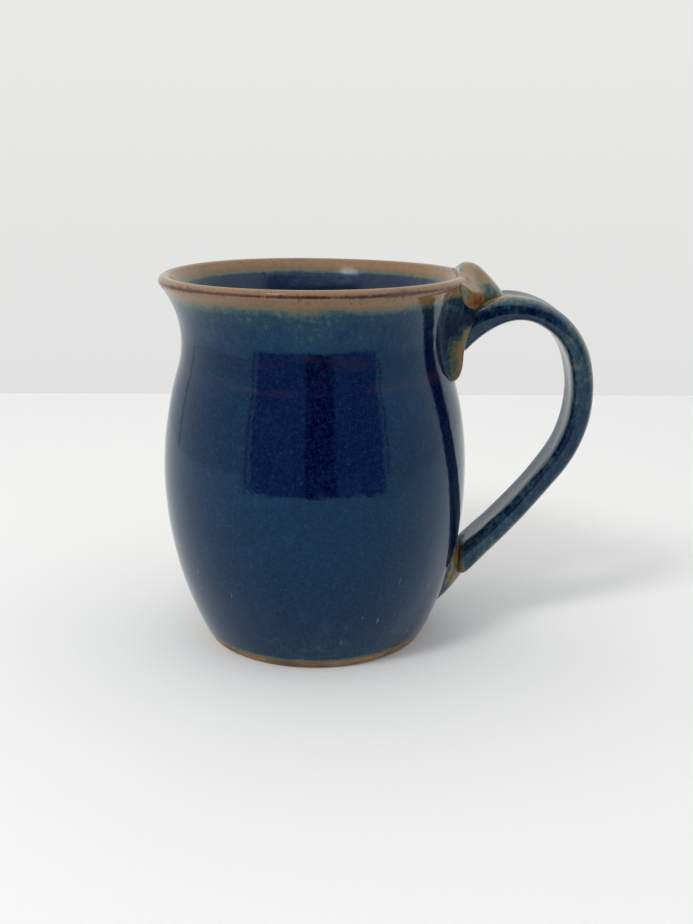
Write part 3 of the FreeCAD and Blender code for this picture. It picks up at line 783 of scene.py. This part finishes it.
class Nodes:
    """A short way to build a node tree."""

    def __init__(self, tree):
        self.tree = tree
        self.tree.nodes.clear()

    def add(self, kind, inputs=None, **settings):
        """A node with some of its settings and inputs set. An input may be another's output."""
        node = self.tree.nodes.new(kind)
        for name, value in settings.items():
            setattr(node, name, value)
        for name, value in (inputs or {}).items():
            if isinstance(value, bpy.types.NodeSocket):
                self.tree.links.new(value, node.inputs[name])
            else:
                node.inputs[name].default_value = value
        return node

    def math(self, operation, *values, clamp=False):
        """One sum. Gives its result."""
        inputs = dict(enumerate(values))
        return self.add("ShaderNodeMath", inputs, operation=operation, use_clamp=clamp).outputs[0]

    def place(self):
        """Where a point is on its object, in metres."""
        return self.add("ShaderNodeTexCoord").outputs["Object"]

    def field(self, name):
        """A number that the mesh carries. It is 0 on a mesh without it."""
        return self.add("ShaderNodeAttribute", attribute_name=name).outputs["Fac"]

    def noise(self, place, scale, detail, rough):
        """Noise at a number of grains per metre. Gives its value."""
        inputs = {"Vector": place, "Scale": scale, "Detail": detail, "Roughness": rough}
        return self.add("ShaderNodeTexNoise", inputs).outputs["Fac"]

    def swing(self, value, reach):
        """Turns a noise value into one that swings about zero."""
        return self.math("MULTIPLY", self.math("SUBTRACT", value, 0.5), reach)

    def stretch(self, place, scale):
        """A place scaled differently along each axis."""
        inputs = {"Vector": place, "Scale": scale}
        return self.add("ShaderNodeMapping", inputs).outputs["Vector"]

    def span(self, value, low, high, to_low=0.0, to_high=1.0):
        """Maps one range to another, held at its ends."""
        inputs = {0: value, 1: low, 2: high, 3: to_low, 4: to_high}
        return self.add("ShaderNodeMapRange", inputs).outputs[0]

    def apart(self, value, middle):
        """How far a value is from a middle, on either side."""
        return self.math("ABSOLUTE", self.math("SUBTRACT", value, middle))

    def blend(self, share, first, second, mode="MIX"):
        """Mixes two colours. A mix node's colours are its sockets 6 and 7, and 2 going out."""
        inputs = {0: share, 6: first, 7: second}
        return self.add("ShaderNodeMix", inputs, data_type="RGBA", blend_type=mode).outputs[2]

    def ramp(self, value, stops):
        """A run of colours along 0 to 1."""
        node = self.add("ShaderNodeValToRGB", {"Fac": value})
        node.color_ramp.interpolation = "EASE"
        elements = node.color_ramp.elements
        while len(elements) < len(stops):
            elements.new(0.5)
        for element, (place, colour) in zip(elements, stops):
            element.position = place
            element.color = colour
        return node.outputs["Color"]

    def bump(self, height, strength, distance):
        """A normal shaped by a height."""
        inputs = {"Height": height, "Strength": strength, "Distance": distance}
        return self.add("ShaderNodeBump", inputs).outputs["Normal"]

    def surface(self, inputs):
        """The shader of a surface, joined to the tree's output."""
        shader = self.add("ShaderNodeBsdfPrincipled", inputs)
        self.add("ShaderNodeOutputMaterial", {"Surface": shader.outputs[0]})


def new_material(name):
    """A material and its empty node tree."""
    material = bpy.data.materials.new(name)
    material.use_nodes = True
    return material, Nodes(material.node_tree)


def glaze_level(nodes, place, mottle, patches):
    """How thin the glaze is at each place, with its clouds, runs, specks and patches."""
    runs = nodes.stretch(place, (1.0, 1.0, 0.2))
    layers = (
        (place, CLOUDS, 0.34 * mottle),
        (place, SPECKS, 0.30 * mottle),
        (runs, RUNS, 0.20 * mottle),
        (place, GRAIN, 0.16),
        (place, PATCHES, patches),
    )
    level = nodes.field("thin")
    for where, noise, reach in layers:
        level = nodes.math("ADD", level, nodes.swing(nodes.noise(where, *noise), reach))
    return level


def with_flecks(nodes, colour, place, tinted):
    """The colour with floating spots of paler blue, and fine flecks over them."""
    spots = nodes.span(nodes.noise(place, *FLOATS), *FLOATS_SPAN, 0.0, FLOAT_STRENGTH * tinted)
    colour = nodes.blend(spots, colour, FLOAT_BLUE, "LIGHTEN")
    fleck = nodes.span(nodes.noise(place, *FLECKS), *FLECKS_SPAN, 0.0, FLECK_STRENGTH)
    return nodes.blend(fleck, colour, FLECK_BLUE, "LIGHTEN")


def with_bands(nodes, colour, place, height, blush):
    """The colour with broken, wandering bands of purple round the belly."""
    streak = nodes.noise(nodes.stretch(place, (1.0, 1.0, 5.0)), *STREAKS)
    streak = nodes.span(streak, *STREAKS_SPAN)
    wander = nodes.swing(nodes.noise(place, *WANDER), BAND_WANDER)
    level = nodes.math("ADD", height, wander)
    for middle, half, strength in BANDS:
        band = nodes.span(nodes.apart(level, middle), 0.0, half, strength * blush, 0.0)
        colour = nodes.blend(nodes.math("MULTIPLY", band, streak), colour, PURPLE)
    return colour


def with_drips(nodes, colour, place, height):
    """The colour with a few short pale drips low on the pot."""
    drip = nodes.noise(nodes.stretch(place, (1.0, 1.0, 0.10)), *DRIPS)
    where = nodes.noise(nodes.stretch(place, (1.0, 1.0, 0.6)), *DRIP_PLACES)
    low = nodes.span(height, *DRIP_TOP, 1.0, 0.0)
    gate = nodes.math("MULTIPLY", nodes.span(where, *DRIP_PLACES_SPAN), low)
    drip = nodes.math("MULTIPLY", nodes.span(drip, *DRIPS_SPAN), gate)
    return nodes.blend(nodes.math("MULTIPLY", drip, DRIP_STRENGTH), colour, DRIP_BLUE)


def glaze_material(
    name, stops, seed, mottle, patches, gloss=GLAZE_GLOSS, tinted=1.0, blush=0.0, shade_painted=False
):
    """A glossy floating glaze. It is deep where it pools and breaks to brown where it is thin."""
    material, nodes = new_material(name)
    place = nodes.place()
    height = nodes.add("ShaderNodeSeparateXYZ", {0: place}).outputs["Z"]
    place = nodes.add("ShaderNodeVectorMath", {0: place, 1: (seed, seed, seed)}).outputs[0]

    level = glaze_level(nodes, place, mottle, patches)
    colour = nodes.ramp(nodes.math("ADD", level, LEVEL_SHIFT, clamp=True), stops)
    colour = with_flecks(nodes, colour, place, tinted)
    if blush:
        colour = with_bands(nodes, colour, place, height, blush)
    colour = with_drips(nodes, colour, place, height)

    deep_tint = (1 - 0.80 * tinted, 1 - 0.38 * tinted, 1.0, 1)
    pits = nodes.math("MULTIPLY", nodes.noise(place, *GLAZE_PITS), 0.14)
    relief = nodes.math("ADD", nodes.noise(place, *GLAZE_PEEL), pits)
    inputs = {
        "Base Color": colour,
        "Roughness": nodes.span(nodes.noise(place, *GLAZE_SHEEN), 0.3, 0.7, *gloss),
        "IOR": 1.6,
        "Specular Tint": nodes.blend(nodes.span(level, 0.26, 0.50), deep_tint, THIN_TINT),
        "Specular IOR Level": EVEN_GLOSS,
        "Normal": nodes.bump(relief, 0.10, 0.0005),
    }
    # Painted shade: the gloss is lowered where the mesh carries painted shade, so the hollows look
    # darker.
    if shade_painted:
        painted_shade_loss = nodes.math("MULTIPLY", nodes.field("painted_shade"), SHADE_GLOSS_LOSS)
        inputs["Specular IOR Level"] = nodes.math("SUBTRACT", EVEN_GLOSS, painted_shade_loss)
    nodes.surface(inputs)
    return material


def clay_material():
    """Bare fired stoneware: toasted tan, with iron specks and a dry, gritty surface."""
    material, nodes = new_material("bare_stoneware")
    place = nodes.place()
    colour = nodes.ramp(nodes.span(nodes.noise(place, *CLAY_CLOUDS), 0.3, 0.7), CLAY_STOPS)
    speck = nodes.span(nodes.noise(place, *CLAY_SPECKS), *CLAY_SPECKS_SPAN)
    colour = nodes.blend(nodes.math("MULTIPLY", speck, IRON_STRENGTH), colour, IRON)
    grit = nodes.noise(place, *CLAY_GRIT)
    nodes.surface(
        {
            "Base Color": colour,
            "Roughness": nodes.span(grit, 0.2, 0.8, 0.62, 0.85),
            "Normal": nodes.bump(grit, 0.35, 0.0002),
        }
    )
    return material


# ---- table, tent, light and camera -----------------------------------------------------------
TABLE_BACK = 345.0
TABLE_FRONT = -320.0
TABLE_SIDE = 420.0
APRON = math.radians(52)  # half the spread of the table's arched front edge, seen from the pot
APRON_POINTS = 41
TABLE_STOPS = ((0.0, (0.87, 0.87, 0.855, 1)), (1.0, (0.89, 0.89, 0.87, 1)))

# The tent as the mug sees it, in degrees: how far round from straight ahead, and how far up.
# A border is given by where it starts and where it ends.
FRONT = 3.0
OPENING_SIDE = (48.8, 50.8)
OPENING_TOP = (39.0, 43.5)
PERSON_LEFT = (-7.5, -5.5)
PERSON_RIGHT = (15.0, 17.5)
PERSON_TOP = (28.0, 33.0)
SEAMS = ((53.0, 1.2, 0.9), (124.0, 1.6, 0.5))  # place, half width and darkness
WALL_RISE = (-10.0, 75.0)
WALL_STOPS = (
    (0.0, (0.74, 0.745, 0.745, 1)),
    (0.45, (0.89, 0.89, 0.885, 1)),
    (1.0, (0.98, 0.98, 0.96, 1)),
)
SEAM_GREY = (0.12, 0.14, 0.18, 1)
ROOM = (0.15, 0.22, 0.40, 1)
PERSON = (0.008, 0.008, 0.03, 1)
LAMP_SPOT = (7, 4)  # the lamp's glow on the tent, half its width
LAMP_GLOW = (7.0, 6.9, 6.6, 1)
BACKDROP_RISE = (-12.0, 5.0)
BACKDROP_LOW = (0.755, 0.757, 0.752, 1)
BACKDROP_HIGH = (0.815, 0.815, 0.805, 1)

KEY_PLACE = Vector((-0.34, -0.44, 0.71))  # in metres, as are the lamp's aim and its width
KEY_AIM = Vector((0, 0, 0.05))
KEY_WIDTH = 0.20
KEY_WATTS = 1.9

CAMERA_PLACE = Vector((11.7, -335.4, 148.3))
CAMERA_PITCH = math.radians(-15.75)
CAMERA_HEADING = math.radians(0.39)
CAMERA_ROLL = math.radians(-0.16)
LENS = 43.57
SENSOR = 36.0


def make_table():
    """The pale table top, which ends where the tent's walls begin."""
    arch = np.linspace(-APRON, APRON, APRON_POINTS)
    corners = [(-TABLE_FRONT * math.sin(turn), TABLE_FRONT * math.cos(turn), 0) for turn in arch]
    corners += [
        (-TABLE_FRONT * math.tan(APRON), TABLE_FRONT, 0),
        (TABLE_SIDE, TABLE_FRONT, 0),
        (TABLE_SIDE, TABLE_BACK, 0),
        (-TABLE_SIDE, TABLE_BACK, 0),
        (-TABLE_SIDE, TABLE_FRONT, 0),
        (TABLE_FRONT * math.tan(APRON), TABLE_FRONT, 0),
    ]
    table = mesh_object("table", corners, [tuple(range(len(corners)))])
    material, nodes = new_material("pale_table")
    colour = nodes.ramp(nodes.noise(nodes.place(), *TABLE_CLOUDS), TABLE_STOPS)
    nodes.surface({"Base Color": colour, "Roughness": 0.75})
    table.data.materials.append(material)


def tent_walls(nodes, rise, round_from_front):
    """The tent's white walls, brighter towards the top, with their seams."""
    wall = nodes.ramp(nodes.span(rise, *WALL_RISE), WALL_STOPS)
    for place, half, depth in SEAMS:
        seam = nodes.span(nodes.apart(round_from_front, place), half / 2, half, depth, 0.0)
        wall = nodes.blend(seam, wall, SEAM_GREY)
    return wall


def dim_room(nodes, turn, rise):
    """The room outside the tent's open front, and the photographer in it."""
    left = nodes.span(turn, *PERSON_LEFT)
    right = nodes.span(turn, *PERSON_RIGHT, 1.0, 0.0)
    head = nodes.span(rise, *PERSON_TOP, 1.0, 0.0)
    person = nodes.math("MULTIPLY", nodes.math("MULTIPLY", left, right), head)
    return nodes.blend(person, ROOM, PERSON)


def make_world():
    """The white tent. Its front is open to a dim room where the photographer stands."""
    world = bpy.data.worlds.new("light_tent")
    bpy.context.scene.world = world
    world.use_nodes = True
    nodes = Nodes(world.node_tree)
    ray = nodes.add("ShaderNodeTexCoord").outputs["Generated"]
    parts = nodes.add("ShaderNodeSeparateXYZ", {0: ray}).outputs
    towards = nodes.math("MULTIPLY", parts["Y"], -1.0)
    turn = nodes.math("MULTIPLY", nodes.math("ARCTAN2", parts["X"], towards), math.degrees(1))
    rise = nodes.math("MULTIPLY", nodes.math("ARCSINE", parts["Z"]), math.degrees(1))
    round_from_front = nodes.apart(turn, FRONT)
    sides = nodes.span(round_from_front, *OPENING_SIDE, 1.0, 0.0)
    opening = nodes.math("MULTIPLY", sides, nodes.span(rise, *OPENING_TOP, 1.0, 0.0))
    wall = tent_walls(nodes, rise, round_from_front)
    tent = nodes.blend(opening, wall, dim_room(nodes, turn, rise))
    aim = {0: ray, 1: KEY_PLACE.normalized()}
    aim = nodes.add("ShaderNodeVectorMath", aim, operation="DOT_PRODUCT").outputs["Value"]
    spot = nodes.span(aim, *(math.cos(math.radians(border)) for border in LAMP_SPOT))
    tent = nodes.blend(spot, tent, LAMP_GLOW)
    backdrop = nodes.blend(nodes.span(rise, *BACKDROP_RISE), BACKDROP_LOW, BACKDROP_HIGH)
    seen = nodes.add("ShaderNodeLightPath").outputs["Is Camera Ray"]
    colour = nodes.blend(seen, tent, backdrop)
    background = nodes.add("ShaderNodeBackground", {"Color": colour, "Strength": 1.0})
    nodes.add("ShaderNodeOutputWorld", {"Surface": background.outputs[0]})


def make_key():
    """One soft lamp, high on the left and in front. Its reflection is the glow on the tent."""
    lamp = bpy.data.lights.new("key", "AREA")
    lamp.shape = "DISK"
    lamp.size = KEY_WIDTH
    lamp.energy = KEY_WATTS
    key = bpy.data.objects.new("key", lamp)
    key.visible_glossy = False
    key.location = KEY_PLACE
    key.rotation_euler = (KEY_AIM - KEY_PLACE).to_track_quat("-Z", "Y").to_euler()
    bpy.context.scene.collection.objects.link(key)


def make_camera():
    """A phone's camera, a third of a metre away and looking down a little."""
    lens = bpy.data.cameras.new("camera")
    lens.sensor_fit = "AUTO"
    lens.sensor_width = SENSOR
    lens.lens = LENS
    lens.clip_start = 0.01
    camera = bpy.data.objects.new("camera", lens)
    camera.location = CAMERA_PLACE * MM
    camera.rotation_euler = (math.pi / 2 + CAMERA_PITCH, CAMERA_ROLL, CAMERA_HEADING)
    bpy.context.scene.collection.objects.link(camera)
    bpy.context.scene.camera = camera


def make_glazes():
    """The glazes of the handle, the outside and the inside."""
    handle = glaze_material(
        "handle_blue",
        HANDLE_STOPS,
        seed=0.4,
        mottle=1.75,
        patches=0.20,
        gloss=(0.05, 0.14),
        tinted=0.65,
        # the handle's hollows get painted shade
        shade_painted=True,
    )
    outer = glaze_material(
        "outside_blue", BLUE_STOPS, seed=0.0, mottle=1.0, patches=0.16, blush=0.42
    )
    inner = glaze_material(
        "liner_blue", BLUE_STOPS, seed=0.2, mottle=0.9, patches=0.12, gloss=(0.12, 0.2), tinted=0.5
    )
    return handle, outer, inner


def build():
    """Makes every piece, hides the CAD parts it stands in for and gives it its finish."""
    handle, outer, inner = make_glazes()
    pieces = (
        (make_clay(), ("thrown_body",), "bare_clay", clay_material()),
        (make_outside(), ("body_glaze",), "blue_glaze", outer),
        (make_liner(), ("liner_glaze",), "liner_glaze", inner),
        (make_strap(), ("handle_strap", "handle_glaze"), "handle_glaze", handle),
        (make_thumb_rest(), ("thumb_rest",), "handle_glaze", handle),
        (make_upper_root(), ("upper_root_clay",), "handle_glaze", handle),
        (make_lower_root(), ("lower_root_clay",), "handle_glaze", handle),
    )
    for piece, nodes, slot, material in pieces:
        piece.data.materials.append(material)
        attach(piece, "root")
        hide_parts(*nodes)


build()
make_table()
make_world()
make_key()
make_camera()
bpy.context.scene.view_settings.view_transform = "Standard"
